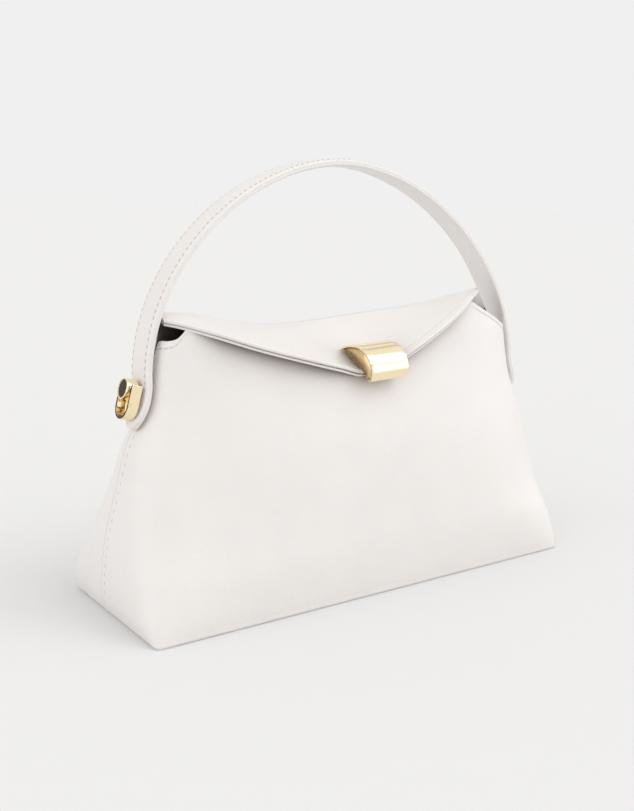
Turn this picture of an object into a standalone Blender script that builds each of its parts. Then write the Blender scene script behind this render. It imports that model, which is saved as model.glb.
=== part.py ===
"""Top-handle handbag: a soft leather trapeze body, a flap with a gold clasp, and a strap held by two studs.

Metres, +Z up. The bag stands on its base, the front looks along -Y, and the origin is under its middle.
"""

import math

import bmesh
import bpy
import numpy as np
from mathutils import Matrix

# Body sizes
BASE_WIDTH = 0.285
BASE_DEPTH = 0.100
SEAM_HEIGHT = 0.140
LEATHER = 0.0020
BASE_THICKNESS = 0.0025
LINING = 0.0010
LINING_DROP = 0.0040
LINING_GAP = 0.0016
CLEARANCE = 0.0003
SEAT = 0.0012
NEAR_SEAM = 0.75

# Flap sizes
FLAP_HALF_WIDTH = 0.111
FLAP_REACH = 0.034
CLASP_DENT = 0.42
FACING = 0.0014
FACING_START = 0.42
FACING_ENDS = (-0.90, 0.80)

# Handle sizes
HANDLE_BOW = 0.0004
HANDLE_TOP = 0.2356
HANDLE_SPRING = 0.1222
HANDLE_SQUARENESS = 1.86
HANDLE_WIDTH = 0.0178
HANDLE_THICKNESS = 0.0040
HANDLE_LEAN = math.radians(6.2)
HANDLE_UPRIGHT = 0.150
TAB_LOW = 0.0985
TAB_TOP = 0.1130
TAB_END = 0.0150

# Side stud and strap ring sizes
STUD_HEIGHT = 0.1170
STUD_RADIUS = 0.0054
STUD_LENGTH = 0.0063
STUD_LOW_LENGTH = 0.0022
STUD_RIM = 0.0007
STUD_RECESS = 0.0005
POST_RADIUS = 0.0020
RING_WALL = 0.0013
RING_DROP = 0.0151
RING_RISE = 0.0026
RING_DEPTH = 0.0056
RING_PLATE = 0.0008
RING_CLEARANCE = 0.0005
SLOT = 0.0024
SLOT_SPAN = (0.60, 0.90)
WASHER_RADIUS = 0.0032
WASHER_THICKNESS = 0.0012
POST_END = 0.0010
HOLE_PAST = 0.0040

# Clasp sizes
CLASP_WIDTH = 0.0256
CLASP_METAL = 0.0011
CLASP_TILT = math.radians(3.0)
CATCH_WIDTH = 0.0200
CATCH_HEIGHT = 0.0030
CATCH_THICKNESS = 0.0012
CATCH_LIFT = 0.1176

# Grid counts
FRONT_COLUMNS = 32
BACK_COLUMNS = 32
LINING_COLUMNS = 24
FLAP_STEPS = 9
ARCH_STEPS = 40
STRAP_SIDES = 16
TURN_STEPS = 20

# Body sections. height: share of SEAM_HEIGHT. half_width: share of half BASE_WIDTH. seam, front, back: places
# across the depth, as shares of half BASE_DEPTH. front_round, back_round: how round the corner folds are, near 0
# for a box and 0.5 for an ellipse.
SECTION_COLUMNS = ("height", "half_width", "seam", "front", "back", "front_round", "back_round")
SECTIONS = np.array([
    (0.000, 1.000, 0.10, -1.00, 1.00, 0.008, 0.012),
    (0.055, 1.016, 0.09, -1.02, 1.02, 0.062, 0.080),
    (0.120, 1.025, 0.08, -1.03, 1.03, 0.115, 0.130),
    (0.190, 1.025, 0.06, -1.03, 1.025, 0.165, 0.190),
    (0.310, 1.014, 0.03, -1.00, 0.96, 0.265, 0.290),
    (0.500, 0.978, -0.02, -0.93, 0.83, 0.345, 0.400),
    (0.650, 0.942, -0.05, -0.85, 0.69, 0.390, 0.435),
    (0.720, 0.911, -0.07, -0.79, 0.61, 0.390, 0.455),
    (0.790, 0.883, -0.08, -0.73, 0.52, 0.390, 0.455),
    (0.900, 0.861, -0.10, -0.63, 0.38, 0.395, 0.455),
    (1.000, 0.842, -0.12, -0.56, 0.24, 0.415, 0.435),
    (1.080, 0.806, -0.12, -0.50, 0.12, 0.415, 0.385),
    (1.180, 0.770, -0.11, -0.44, 0.02, 0.415, 0.333),
])

# Heights of the grid rows up a panel, as shares of the panel's own height.
PANEL_ROWS = (0.0, 0.025, 0.07, 0.13, 0.20, 0.30, 0.42, 0.54, 0.65, 0.74, 0.82, 0.89, 0.95, 1.0)
LINING_ROWS = (0.0, 0.04, 0.12, 0.26, 0.42, 0.58, 0.72, 0.86, 1.0)

# Top rim of the front panel. round: place round the panel, -1 at the left seam, 0 in front, 1 at the right seam.
# height: share of SEAM_HEIGHT.
RIM_COLUMNS = ("round", "height")
RIM = np.array([
    (-1.00, 0.992), (-0.86, 0.994), (-0.76, 1.006), (-0.71, 1.024), (-0.67, 1.034), (-0.62, 1.027),
    (-0.54, 1.007), (-0.40, 0.972), (-0.20, 0.907), (-0.05, 0.864), (0.05, 0.884), (0.14, 0.923),
    (0.28, 0.997), (0.38, 1.056), (0.45, 1.091), (0.51, 1.102), (0.57, 1.092), (0.63, 1.062),
    (0.68, 1.030), (0.72, 1.013), (0.79, 1.000), (0.92, 0.993), (1.00, 0.992),
])

# The flap from side to side. across: share of FLAP_HALF_WIDTH. fold_y, edge_y: shares of FLAP_REACH.
# fold_z, edge_z: heights of the fold over the top and of the free front edge, as shares of SEAM_HEIGHT.
FLAP_COLUMNS = ("across", "fold_y", "fold_z", "edge_y", "edge_z")
FLAP = np.array([
    (-1.04, -0.10, 1.108, -0.38, 1.092),
    (-0.99, -0.05, 1.106, -0.54, 1.076),
    (-0.90, 0.00, 1.100, -0.68, 1.048),
    (-0.68, 0.06, 1.069, -0.83, 1.003),
    (-0.45, 0.10, 1.046, -0.92, 0.957),
    (-0.25, 0.12, 1.046, -0.96, 0.919),
    (-0.07, 0.13, 1.057, -0.985, 0.893),
    (0.10, 0.13, 1.068, -0.98, 0.927),
    (0.25, 0.12, 1.078, -0.94, 0.961),
    (0.40, 0.10, 1.089, -0.86, 1.002),
    (0.50, 0.08, 1.100, -0.79, 1.046),
    (0.60, 0.05, 1.112, -0.67, 1.082),
    (0.72, 0.02, 1.131, -0.44, 1.115),
    (0.80, 0.00, 1.144, -0.29, 1.134),
    (0.89, -0.03, 1.156, -0.14, 1.148),
])

# Side profile of the clasp's hood, from its back tip over the top and round under the flap's edge. y: share of
# FLAP_REACH. z: share of SEAM_HEIGHT.
HOOD = np.array([
    (-0.560, 0.9675), (-0.630, 0.974), (-0.740, 0.978), (-0.880, 0.979), (-1.010, 0.971), (-1.130, 0.955),
    (-1.220, 0.932), (-1.270, 0.905), (-1.285, 0.880), (-1.280, 0.858), (-1.250, 0.853), (-1.190, 0.852),
])


def column(table, columns, name):
    return table[:, columns.index(name)]


def smooth(at, places, values):
    """Cubic through the places, with the slope at each one taken from its neighbours."""
    slopes = np.gradient(values, places)
    at = np.clip(at, places[0], places[-1])
    i = np.clip(np.searchsorted(places, at, side="right") - 1, 0, len(places) - 2)
    step = places[i + 1] - places[i]
    t = (at - places[i]) / step
    return (
        values[i] * (1 + 2 * t) * (1 - t) ** 2
        + values[i + 1] * t**2 * (3 - 2 * t)
        + step * (slopes[i] * t * (1 - t) ** 2 - slopes[i + 1] * t**2 * (1 - t))
    )


def section(height, name):
    """A named column of SECTIONS at a height, in metres unless it is a roundness."""
    values = smooth(height / SEAM_HEIGHT, SECTIONS[:, 0], column(SECTIONS, SECTION_COLUMNS, name))
    if name == "half_width":
        return values * BASE_WIDTH / 2
    if name in ("seam", "front", "back"):
        return values * BASE_DEPTH / 2
    return values


def wall_point(place, height, side, inset=0.0):
    """A point on the body: place runs from -1 at the left seam to 1 at the right, by the front or the back.

    In plan each side of the body is half of a rounded box, |x/a|^n + |y/b|^n = 1, whose n the table gives.
    """
    angle = place * math.pi / 2
    a = section(height, "half_width") - inset
    seam = section(height, "seam")
    b = np.abs(section(height, side) - seam) - inset
    power = 1 / section(height, side + "_round")
    x, y = np.sin(angle), np.cos(angle)
    reach = (np.abs(x) ** power + np.abs(y) ** power) ** (-1 / power)
    away = -1 if side == "front" else 1
    return np.stack([a * reach * x, seam + away * b * reach * y, height + 0 * x], axis=-1)


def rim_height(place):
    return SEAM_HEIGHT * smooth(place, column(RIM, RIM_COLUMNS, "round"), column(RIM, RIM_COLUMNS, "height"))


def flap_across(place):
    """Where a place round the back panel comes out along the flap."""
    middle = (FLAP[0, 0] + FLAP[-1, 0]) / 2
    return middle + (FLAP[-1, 0] - middle) * np.sin(place * math.pi / 2)


def flap_line(across, name):
    """The flap's fold or its free edge, as points in metres."""
    y = smooth(across, FLAP[:, 0], column(FLAP, FLAP_COLUMNS, name + "_y")) * FLAP_REACH
    z = smooth(across, FLAP[:, 0], column(FLAP, FLAP_COLUMNS, name + "_z")) * SEAM_HEIGHT
    return np.stack([across * FLAP_HALF_WIDTH, y, z], axis=-1)


def flap_points(across, steps):
    """The flap from its fold to its free edge: a Bezier curve at each place across, pressed down at the clasp."""
    fold, edge = flap_line(across, "fold"), flap_line(across, "edge")
    length = np.linalg.norm(edge - fold, axis=-1, keepdims=True)
    press = np.exp(-((across / CLASP_DENT) ** 2))[:, None]
    leave = fold + length * (np.array([0.0, -0.30, 0.04]) + press * np.array([0.0, 0.08, -0.18]))
    arrive = edge + length * (np.array([0.0, 0.33, 0.13]) + press * np.array([0.0, 0.06, -0.10]))
    t = steps[:, None, None]
    return (1 - t) ** 3 * fold + 3 * t * (1 - t) ** 2 * leave + 3 * t**2 * (1 - t) * arrive + t**3 * edge


def back_wall(place, height, inset=0.0):
    """The back of the body, which bends near its top to meet the flap's fold."""
    fold = flap_line(flap_across(place), "fold")
    share = height / fold[..., 2]
    blend = np.clip((share - 0.78) / 0.22, 0, 1)[..., None] ** 2
    bend = fold - wall_point(place, fold[..., 2], "back")
    return wall_point(place, height, "back", inset) + blend * bend


def surface_normals(points):
    """Unit normals of a grid of points, by the cross product of its two directions."""
    down, along = np.gradient(points, axis=0), np.gradient(points, axis=1)
    normals = np.cross(along, down)
    return normals / np.linalg.norm(normals, axis=-1, keepdims=True)


def new_object(name, mesh, material, collection):
    obj = bpy.data.objects.new(name, mesh)
    if material is not None:
        obj.data.materials.append(material)
    collection.objects.link(obj)
    return obj


def make_material(name, colour, roughness, metallic=0.0):
    material = bpy.data.materials.new(name)
    material.use_nodes = True
    shader = material.node_tree.nodes["Principled BSDF"]
    shader.inputs["Base Color"].default_value = (*colour, 1.0)
    shader.inputs["Roughness"].default_value = roughness
    shader.inputs["Metallic"].default_value = metallic
    return material


def shade(mesh):
    mesh.shade_smooth()
    mesh.set_sharp_from_angle(angle=math.radians(40))


def grid_mesh(name, points, closed=False, flip=False, first_cap=False, last_cap=False):
    """A mesh from a grid of points, stored row by row. A closed grid joins its last column to its first."""
    rows, columns = points.shape[:2]
    i, j = np.meshgrid(np.arange(rows - 1), np.arange(columns if closed else columns - 1), indexing="ij")
    k = (j + 1) % columns
    quads = np.stack([i * columns + j, i * columns + k, (i + 1) * columns + k, (i + 1) * columns + j], axis=-1)
    faces = quads.reshape(-1, 4).tolist()
    if first_cap:
        faces.append(list(reversed(range(columns))))
    if last_cap:
        faces.append(list(range((rows - 1) * columns, rows * columns)))
    if flip:
        faces = [list(reversed(face)) for face in faces]
    mesh = bpy.data.meshes.new(name)
    mesh.from_pydata(points.reshape(-1, 3).tolist(), [], faces)
    shade(mesh)
    return mesh


def inner_face(points, thickness, outward, wall_rows):
    """The inner side of a leather panel: each point moved in along its normal.

    Along the lower edge it moves level, and up the two seam edges it stays in the seam's plane.
    """
    normals = surface_normals(points) * outward
    normals[0, :, 2] = 0
    normals[:wall_rows, [0, -1], 1] = 0
    normals /= np.linalg.norm(normals, axis=-1, keepdims=True)
    return points - normals * thickness


def wall_mesh(name, outer, inner, flip):
    """A closed mesh between two grids of the same size: the outer face, the inner face and the edge around."""
    rows, columns = outer.shape[:2]
    mesh = grid_mesh(name, np.concatenate([outer, inner[::-1]]), flip=flip)
    shape = bmesh.new()
    shape.from_mesh(mesh)
    shape.verts.ensure_lookup_table()
    last = 2 * rows - 1
    for j in (0, columns - 1):
        turn = (j == 0) != flip
        for i in range(rows - 1):
            ends = [i, i + 1, last - i - 1, last - i]
            corners = [shape.verts[row * columns + j] for row in ends]
            shape.faces.new(corners if turn else corners[::-1])
    for j in range(columns - 1):
        corners = [shape.verts[k] for k in (j, j + 1, last * columns + j + 1, last * columns + j)]
        shape.faces.new(corners if flip else corners[::-1])
    shape.to_mesh(mesh)
    shape.free()
    shade(mesh)
    return mesh


def solidify(obj, thickness):
    """Gives an open surface its wall, on the inner side of its faces."""
    modifier = obj.modifiers.new("wall", "SOLIDIFY")
    modifier.thickness = thickness
    modifier.offset = -1
    modifier.use_even_offset = True


def cut(obj, cutter):
    modifier = obj.modifiers.new("cut", "BOOLEAN")
    modifier.operation = "DIFFERENCE"
    modifier.solver = "EXACT"
    modifier.object = cutter


def front_panel(material, collection):
    """Front leather panel, from side seam to side seam and from the base to the rim."""
    place = np.linspace(-1, 1, FRONT_COLUMNS + 1)
    height = np.array(PANEL_ROWS)[:, None] * rim_height(place)
    points = wall_point(place + 0 * height, height, "front")
    points[..., 1] -= CLEARANCE / 2
    inner = inner_face(points, LEATHER, 1, len(PANEL_ROWS))
    return new_object("front_panel", wall_mesh("front_panel", points, inner, False), material, collection)


def back_panel(material, collection):
    """Back leather panel, which runs on over the top as the flap, in one piece."""
    place = np.linspace(-1, 1, BACK_COLUMNS + 1)
    across = flap_across(place)
    height = np.array(PANEL_ROWS)[:-1, None] * flap_line(across, "fold")[:, 2]
    wall = back_wall(place + 0 * height, height)
    wall[..., 1] += CLEARANCE / 2
    flap = flap_points(across, np.linspace(0, 1, FLAP_STEPS + 1))
    points = np.concatenate([wall, flap])
    inner = inner_face(points, LEATHER, -1, len(wall))
    return new_object("back_panel", wall_mesh("back_panel", points, inner, True), material, collection)


def flap_facing(material, collection):
    """Second layer of leather under the flap, flush with its free edge."""
    place = np.linspace(*FACING_ENDS, BACK_COLUMNS + 1)
    flap = flap_points(flap_across(place), np.linspace(FACING_START, 1, FLAP_STEPS - 2))
    normals = surface_normals(flap)
    outer = flap + normals * (LEATHER + CLEARANCE)
    inner = outer + normals * FACING
    return new_object("flap_facing", wall_mesh("flap_facing", outer, inner, True), material, collection)


def base_panel(material, collection):
    """Flat leather base, set inside the lower edges of the front and back panels."""
    inset = LEATHER + SEAT
    around = np.linspace(-1, 1, FRONT_COLUMNS + 1)
    front = wall_point(around, np.zeros_like(around), "front", inset)
    back = wall_point(-around[1:-1], np.zeros_like(around[1:-1]), "back", inset)
    ring = np.concatenate([front, back])
    rows = np.stack([ring, ring + [0.0, 0.0, BASE_THICKNESS]])
    mesh = grid_mesh("base_panel", rows, closed=True, first_cap=True, last_cap=True)
    return new_object("base_panel", mesh, material, collection)


def lining(material, collection):
    """Dark lining: one closed bag inside the leather, lower than the front rim and up under the fold behind."""
    inset = LEATHER + LINING_GAP
    place = np.linspace(-1, 1, LINING_COLUMNS + 1)
    floor = BASE_THICKNESS + CLEARANCE
    rows = np.array(LINING_ROWS)[:, None]
    front_top = rim_height(place) - LINING_DROP
    front_height = floor + rows * (front_top - floor)
    front = inner_face(wall_point(place + 0 * front_height, front_height, "front"), inset, 1, len(rows))
    fold_top = flap_line(flap_across(place), "fold")[:, 2] - LINING_DROP
    near_seam = np.clip((np.abs(place) - NEAR_SEAM) / (1 - NEAR_SEAM), 0, 1) ** 2
    back_top = fold_top + near_seam * (front_top[0] - fold_top)
    back_height = floor + rows * (back_top - floor)
    back = inner_face(back_wall(place + 0 * back_height, back_height), inset, -1, len(rows))
    points = np.concatenate([front, back[:, -2:0:-1]], axis=1)
    mesh = grid_mesh("lining", points, closed=True, first_cap=True)
    obj = new_object("lining", mesh, material, collection)
    solidify(obj, LINING)
    return obj


def side_line(height):
    """Middle line of the handle's tab over the side seam: half width, clear of the leather by the seat."""
    step = 0.0005
    slope = (section(height + step, "half_width") - section(height - step, "half_width")) / (2 * step)
    stand = (HANDLE_THICKNESS / 2 + SEAT) * np.sqrt(1 + slope**2)
    return section(height, "half_width") + stand


def handle_half_span():
    """The arch springs from just outside the line of its tabs."""
    return side_line(HANDLE_SPRING) + HANDLE_BOW


def handle_path():
    """Middle line of the strap in its own plane, from the left tab's end over the top to the right tab's end."""
    turn = np.linspace(math.radians(12), math.pi / 2, 8)
    low = TAB_LOW + TAB_END * (1 - np.cos(turn))
    rise = np.linspace(low[-1], HANDLE_SPRING, 4)[1:-1]
    height = np.concatenate([low, rise])
    share = np.clip((height - TAB_LOW) / (HANDLE_SPRING - TAB_LOW), 0, 1)
    share = share**2 * (3 - 2 * share)
    over_seam = side_line(np.minimum(height, TAB_TOP))
    half_span = handle_half_span()
    x = over_seam + share * (half_span - over_seam)
    x = np.maximum(x, side_line(height))
    half_width = np.full(len(height), HANDLE_WIDTH / 2)
    half_width[:len(turn)] *= np.sin(turn)
    angle = np.linspace(0, math.pi, ARCH_STEPS + 1)
    power = 2 / HANDLE_SQUARENESS
    arch_x = half_span * np.sign(np.cos(angle)) * np.abs(np.cos(angle)) ** power
    arch_z = HANDLE_SPRING + (HANDLE_TOP - HANDLE_THICKNESS / 2 - HANDLE_SPRING) * np.sin(angle) ** power
    along = np.concatenate([-x, -arch_x, x[::-1]])
    up = np.concatenate([height, arch_z, height[::-1]])
    wide = np.concatenate([half_width, np.full(len(angle), HANDLE_WIDTH / 2), half_width[::-1]])
    return along, up, wide


def lean(points):
    """Tips the handle back, about the height where it stands over the middle of the base."""
    points = points.copy()
    points[..., 1] += (points[..., 2] - HANDLE_UPRIGHT) * math.tan(HANDLE_LEAN)
    return points


def handle(material, collection):
    """Padded strap: a rounded oblong carried along the arch, with a rounded tab at each end."""
    along, up, wide = handle_path()
    tangent = np.stack([np.gradient(along), np.gradient(up)], axis=-1)
    tangent /= np.linalg.norm(tangent, axis=-1, keepdims=True)
    angle = np.arange(STRAP_SIDES) * 2 * math.pi / STRAP_SIDES + math.pi / STRAP_SIDES
    power = 5.0
    reach = (np.abs(np.cos(angle)) ** power + np.abs(np.sin(angle)) ** power) ** (-1 / power)
    across, out = reach * np.cos(angle), reach * np.sin(angle) * HANDLE_THICKNESS / 2
    x = along[:, None] - tangent[:, 1:2] * out
    z = up[:, None] + tangent[:, 0:1] * out
    y = wide[:, None] * across
    points = lean(np.stack([x, y, z], axis=-1))
    mesh = grid_mesh("handle", points, closed=True, flip=True, first_cap=True, last_cap=True)
    return new_object("handle", mesh, material, collection)


def side_seat():
    """Where the ring's plate seats on the tab's outer face: half width, height, and the face's tilt from upright."""
    along, up, _ = handle_path()
    rise = max(RING_RISE, STUD_RADIUS)
    tab = slice(0, int(np.argmax(up > max(HANDLE_SPRING, STUD_HEIGHT) + rise)))
    tangent = np.stack([np.gradient(along), np.gradient(up)], axis=-1)
    tangent /= np.linalg.norm(tangent, axis=-1, keepdims=True)
    x = -along[tab] + tangent[tab, 1] * HANDLE_THICKNESS / 2
    z = up[tab] + tangent[tab, 0] * HANDLE_THICKNESS / 2
    low, high = STUD_HEIGHT - RING_DROP, STUD_HEIGHT + rise
    tilt = math.atan2(np.interp(low, z, x) - np.interp(high, z, x), high - low)
    within = (z > low) & (z < high)
    ends = np.array([(np.interp(low, z, x), low), (np.interp(high, z, x), high)])
    face = np.concatenate([np.stack([x, z], axis=-1)[within], ends])
    reach = np.max(face @ [math.cos(tilt), math.sin(tilt)]) + CLEARANCE
    half_width = (reach - STUD_HEIGHT * math.sin(tilt)) / math.cos(tilt)
    return half_width, STUD_HEIGHT, tilt


def seam_room(height, half_gap):
    """How far out from the middle the body is still open by half_gap to each side of the seam."""
    reach = []
    for side in ("front", "back"):
        power = 1 / section(height, side + "_round")
        depth = abs(section(height, side) - section(height, "seam"))
        reach.append((1 - (half_gap / depth) ** power) ** (1 / power))
    return section(height, "half_width") * min(reach)


def washer_depth():
    """From the ring's seat in to the washer's outer side, where the lined space clears the washer's top edge."""
    half_width, height, tilt = side_seat()
    wall = LEATHER + LINING_GAP + LINING
    room = seam_room(height + WASHER_RADIUS, WASHER_RADIUS + wall + CLEARANCE)
    return (half_width - room) / math.cos(tilt) + wall + SEAT


def side_frame(sign):
    """Matrix from a side fitting's own axes, X across, Y up the tab and Z outwards, to the bag's."""
    half_width, height, tilt = side_seat()
    place = Matrix.Translation((sign * half_width, (height - HANDLE_UPRIGHT) * math.tan(HANDLE_LEAN), height))
    out = np.array([sign * math.cos(tilt), 0.0, math.sin(tilt)])
    up = np.array([-sign * math.sin(tilt), 0.0, math.cos(tilt)])
    across = np.cross(up, out)
    axes = Matrix(np.stack([across, up, out], axis=1).tolist()).to_4x4()
    return place @ Matrix.Rotation(-HANDLE_LEAN, 4, "X") @ axes


def turned(name, profile, material, collection):
    """A turned piece: a profile of (radius, height) points carried round its own Z axis."""
    mesh = bpy.data.meshes.new(name)
    points = [(radius, 0.0, height) for radius, height in profile]
    mesh.from_pydata(points, [(i, i + 1) for i in range(len(points) - 1)], [])
    obj = new_object(name, mesh, material, collection)
    screw = obj.modifiers.new("turn", "SCREW")
    screw.axis = "Z"
    screw.steps = TURN_STEPS
    screw.render_steps = TURN_STEPS
    screw.use_merge_vertices = True
    screw.merge_threshold = 0.00001
    screw.use_smooth_shade = True
    return obj


def side_stud(name, sign, foot, length, material, collection):
    """Round stud: a post through the tab and the seam, and a barrel whose face is sunk inside a thin rim."""
    top = foot + length
    inner = -(washer_depth() + WASHER_THICKNESS + POST_END)
    profile = [
        (0.0, top - STUD_RECESS),
        (STUD_RADIUS - STUD_RIM, top - STUD_RECESS),
        (STUD_RADIUS - STUD_RIM, top),
        (STUD_RADIUS - STUD_RIM / 3, top),
        (STUD_RADIUS, top - STUD_RIM / 2),
        (STUD_RADIUS, foot),
        (POST_RADIUS, foot),
        (POST_RADIUS, inner),
        (0.0, inner),
    ]
    obj = turned(name, profile, material, collection)
    obj.matrix_world = side_frame(sign)
    return obj


def extruded(name, outline, low, high, material, collection):
    """A flat outline in its own XY plane, between two heights."""
    outline = np.array(outline)
    rows = np.stack([np.column_stack([outline, np.full(len(outline), z)]) for z in (low, high)])
    mesh = grid_mesh(name, rows, closed=True, first_cap=True, last_cap=True)
    return new_object(name, mesh, material, collection)


def ring_outline(radius, drop, rise):
    """A U: a half circle whose lowest point is drop below the stud, and straight arms up to rise above it."""
    angle = np.linspace(math.pi, 2 * math.pi, TURN_STEPS // 2 + 1)
    bow = np.stack([radius * np.cos(angle), radius * np.sin(angle) - (drop - radius)], axis=-1)
    return [*bow.tolist(), (radius, rise), (-radius, rise)]


def strap_ring(name, sign, material, collection, cutters):
    """U-shaped ring for a strap's clip: a wall standing on a thin plate, open above, with a slot in each arm."""
    inner = STUD_RADIUS + RING_CLEARANCE
    outer = inner + RING_WALL
    frame = side_frame(sign)
    obj = extruded(name, ring_outline(outer, RING_DROP, RING_RISE), 0.0, RING_DEPTH, material, collection)
    pocket_outline = ring_outline(inner, RING_DROP - RING_WALL, 2 * RING_RISE)
    pocket = extruded(name + "_pocket", pocket_outline, RING_PLATE, 2 * RING_DEPTH, None, cutters)
    middle = -(RING_DROP - outer)
    side = SLOT / 2
    across = 2 * outer
    square = [
        (-across, middle - side),
        (across, middle - side),
        (across, middle + side),
        (-across, middle + side),
    ]
    low, high = (share * RING_DEPTH for share in SLOT_SPAN)
    slot = extruded(name + "_slot", square, low, high, None, cutters)
    hole = post_hole(name + "_hole", sign, cutters)
    for piece in (obj, pocket, slot):
        piece.matrix_world = frame
    for cutter in (pocket, slot, hole):
        cut(obj, cutter)
    return obj


def as_cutter(obj):
    obj.hide_render = True
    obj.display_type = "WIRE"
    return obj


def post_hole(name, sign, cutters):
    """Cutter for a stud's post: it runs from inside the bag to just outside the ring's plate."""
    mesh = bpy.data.meshes.new(name)
    shape = bmesh.new()
    radius = POST_RADIUS + CLEARANCE
    outside = RING_PLATE + HOLE_PAST
    depth = washer_depth() + WASHER_THICKNESS + HOLE_PAST + outside
    bmesh.ops.create_cone(shape, cap_ends=True, segments=TURN_STEPS, radius1=radius, radius2=radius, depth=depth)
    bmesh.ops.translate(shape, verts=shape.verts, vec=(0.0, 0.0, outside - depth / 2))
    shape.to_mesh(mesh)
    shape.free()
    obj = new_object(name, mesh, None, cutters)
    obj.matrix_world = side_frame(sign)
    return obj


def stud_washer(name, sign, material, collection):
    """Plain washer on the post's inner end, against the lining."""
    hole = POST_RADIUS + CLEARANCE
    top = -washer_depth()
    low = top - WASHER_THICKNESS
    profile = [(hole, top), (WASHER_RADIUS, top), (WASHER_RADIUS, low), (hole, low), (hole, top)]
    obj = turned(name, profile, material, collection)
    obj.matrix_world = side_frame(sign)
    return obj


def clasp_hood(material, collection):
    """Curved clasp plate over the flap's point: a side profile carried across and given its metal."""
    y, z = HOOD[:, 0] * FLAP_REACH, HOOD[:, 1] * SEAM_HEIGHT
    across = np.array([-0.5, 0.0, 0.5]) * CLASP_WIDTH
    points = np.stack([
        np.stack([np.full_like(y, x), y, z + x * math.tan(CLASP_TILT)], axis=-1) for x in across
    ], axis=1)
    obj = new_object("clasp_hood", grid_mesh("clasp_hood", points, flip=True), material, collection)
    solidify(obj, CLASP_METAL)
    return obj


def clasp_catch(material, collection):
    """Flat catch on the front panel behind the hood."""
    half = CATCH_HEIGHT / 2
    low, high = CATCH_LIFT - half, CATCH_LIFT + half
    face = [wall_point(np.array(0.0), np.array(z), "front")[1] - CLEARANCE * 1.5 for z in (low, high)]
    outline = [(face[0], low), (face[0] - CATCH_THICKNESS, low), (face[1] - CATCH_THICKNESS, high), (face[1], high)]
    points = np.stack([
        np.array([(x * CATCH_WIDTH / 2, y, z) for y, z in outline]) for x in (-1, 1)
    ])
    mesh = grid_mesh("clasp_catch", points, closed=True, flip=True, first_cap=True, last_cap=True)
    return new_object("clasp_catch", mesh, material, collection)


def main():
    for obj in list(bpy.data.objects):
        bpy.data.objects.remove(obj, do_unlink=True)
    scene = bpy.context.scene.collection
    handbag = bpy.data.collections.new("handbag")
    cutters = bpy.data.collections.new("cutters")
    scene.children.link(handbag)
    scene.children.link(cutters)
    leather = make_material("leather", (0.86, 0.82, 0.79), 0.45)
    dark = make_material("lining", (0.035, 0.026, 0.022), 0.75)
    gold = make_material("gold", (0.92, 0.74, 0.42), 0.16, 1.0)
    front = front_panel(leather, handbag)
    back = back_panel(leather, handbag)
    flap_facing(leather, handbag)
    base_panel(leather, handbag)
    bag_lining = lining(dark, handbag)
    strap = handle(leather, handbag)
    side_stud("stud_left", -1, RING_PLATE + CLEARANCE, STUD_LENGTH, gold, handbag)
    side_stud("stud_right", 1, CLEARANCE, STUD_LOW_LENGTH, gold, handbag)
    strap_ring("strap_ring_left", -1, gold, handbag, cutters)
    for side, sign in (("left", -1), ("right", 1)):
        stud_washer("stud_washer_" + side, sign, gold, handbag)
        hole = post_hole("post_hole_" + side, sign, cutters)
        for piece in (front, back, bag_lining, strap):
            cut(piece, hole)
    clasp_hood(gold, handbag)
    clasp_catch(gold, handbag)
    for cutter in cutters.objects:
        as_cutter(cutter)


main()
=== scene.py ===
"""Top-handle handbag: off-white leather body and flap, stitched strap, dark lining and pale gold fittings."""

import math

import bmesh
import bpy
import numpy as np
from mathutils import Matrix, Vector


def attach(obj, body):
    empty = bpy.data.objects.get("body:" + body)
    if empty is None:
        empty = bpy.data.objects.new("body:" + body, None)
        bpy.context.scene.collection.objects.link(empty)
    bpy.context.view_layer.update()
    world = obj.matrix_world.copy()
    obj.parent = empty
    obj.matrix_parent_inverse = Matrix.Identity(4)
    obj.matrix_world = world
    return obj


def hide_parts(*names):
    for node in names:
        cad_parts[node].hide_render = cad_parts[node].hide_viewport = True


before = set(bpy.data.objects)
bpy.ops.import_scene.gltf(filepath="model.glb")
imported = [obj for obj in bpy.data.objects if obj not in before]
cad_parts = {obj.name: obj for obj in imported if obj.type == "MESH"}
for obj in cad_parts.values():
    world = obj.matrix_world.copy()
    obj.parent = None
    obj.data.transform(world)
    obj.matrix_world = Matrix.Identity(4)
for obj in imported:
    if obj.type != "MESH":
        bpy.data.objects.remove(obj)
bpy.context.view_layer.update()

MM = 0.001

# Body sizes, as in the solids
BASE_WIDTH = 0.285
BASE_DEPTH = 0.100
SEAM_HEIGHT = 0.140
LEATHER = 2.0 * MM
GAP = 0.3 * MM
BASE_THICKNESS = 2.5 * MM

# Flap sizes
FLAP_HALF_WIDTH = 0.111
FLAP_REACH = 0.034
CLASP_DENT = 0.42
BEND_START = 0.78
FACING = 1.4 * MM

# Handle sizes
HANDLE_BOW = 0.4 * MM
HANDLE_TOP = 0.2356
HANDLE_SPRING = 0.1222
HANDLE_SQUARENESS = 1.86
HANDLE_WIDTH = 17.8 * MM
HANDLE_THICKNESS = 4.0 * MM
HANDLE_LEAN = math.radians(6.2)
HANDLE_UPRIGHT = 0.150
TAB_LOW = 0.0985
TAB_TOP = 0.1130
TAB_END = 15.0 * MM
SEAT = 1.2 * MM

# Fitting sizes
FITTING_TILT = 0.285
CATCH_RISE = 3.6 * MM
STUD_SINK = 1.6 * MM
CORE_INSET = 0.7 * MM
CLASP_WIDTH = 25.6 * MM
CLASP_METAL = 1.1 * MM
CLASP_TILT = math.radians(3.0)

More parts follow.
